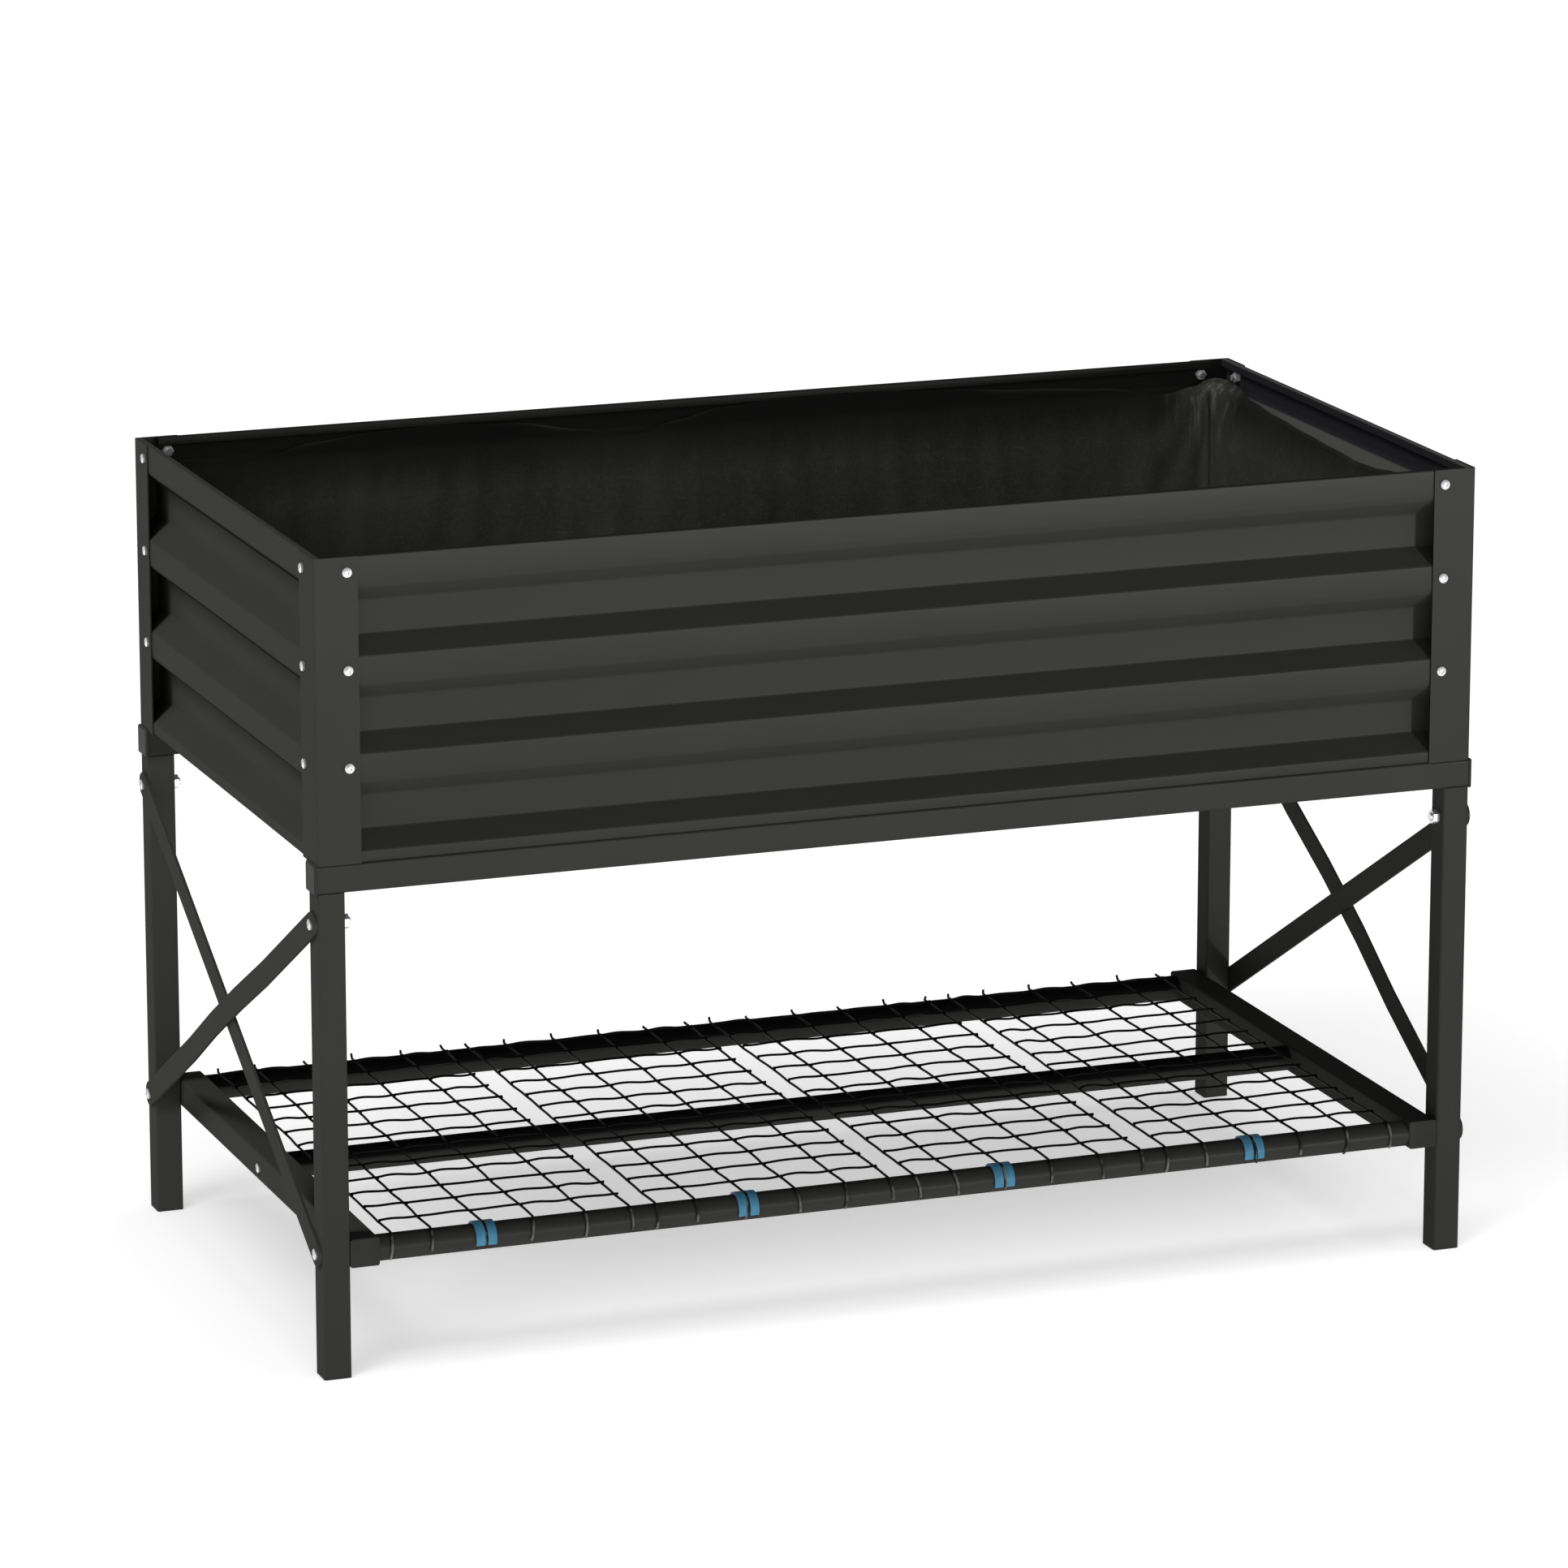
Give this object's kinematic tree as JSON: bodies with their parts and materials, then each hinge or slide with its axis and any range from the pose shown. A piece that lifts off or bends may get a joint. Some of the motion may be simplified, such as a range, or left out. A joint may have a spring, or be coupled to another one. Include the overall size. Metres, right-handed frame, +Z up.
{
  "type": "raised planter",
  "caption": "Raised planter on legs: an open corrugated sheet-metal box with a soft liner on a square tube frame with crossed end braces and a wire-mesh storage shelf.",
  "frame": {"origin": "on the floor under the centre of the planter", "axes": "+X along the long side, to the right seen from the front; +Y from the front to the back; +Z up"},
  "size_m": [1.2324, 0.6224, 0.82],
  "materials": {
    "frame_coat": "satin anthracite powder coat",
    "panel_coat": "satin anthracite coated sheet",
    "hidden_coat": "matt dark coat",
    "cap_plastic": "matt",
    "zinc": "bright zinc plated",
    "liner_sheet": "matt non-woven",
    "wire_coat": "black dipped wire",
    "clip_plastic": "satin blue"
  },
  "bodies": {
    "root": {"leg_front_left": "frame_coat", "leg_front_right": "frame_coat", "leg_back_left": "frame_coat", "leg_back_right": "frame_coat", "foot_plugs": "cap_plastic", "leg_stub_front_left": "hidden_coat", "leg_stub_front_right": "hidden_coat", "leg_stub_back_left": "hidden_coat", "leg_stub_back_right": "hidden_coat", "base_rail_front": "frame_coat", "base_rail_back": "frame_coat", "rail_end_caps": "cap_plastic", "cross_bar_left": "hidden_coat", "cross_bar_centre": "hidden_coat", "cross_bar_right": "hidden_coat", "floor_sheet_left": "hidden_coat", "floor_sheet_right": "hidden_coat", "panel_front": "panel_coat", "panel_back": "panel_coat", "panel_left": "panel_coat", "panel_right": "panel_coat", "corner_front_left": "panel_coat", "corner_front_right": "panel_coat", "corner_back_left": "panel_coat", "corner_back_right": "panel_coat", "box_bolts": "zinc", "box_nuts": "zinc", "liner": "liner_sheet", "brace_left_inner": "frame_coat", "brace_left_outer": "frame_coat", "brace_right_inner": "frame_coat", "brace_right_outer": "frame_coat", "brace_bolts": "zinc", "brace_nuts": "zinc", "shelf_end_rail_left": "frame_coat", "shelf_end_rail_right": "frame_coat", "shelf_end_plugs": "cap_plastic", "shelf_tube_front": "frame_coat", "shelf_tube_middle": "frame_coat", "shelf_tube_back": "frame_coat", "shelf_tube_inserts": "zinc", "shelf_bolts_long": "zinc", "shelf_bolts_short": "zinc", "mesh_panel_1": "wire_coat", "mesh_panel_2": "wire_coat", "mesh_panel_3": "wire_coat", "mesh_panel_4": "wire_coat", "mesh_clips": "clip_plastic"}
  },
  "joints": []
}
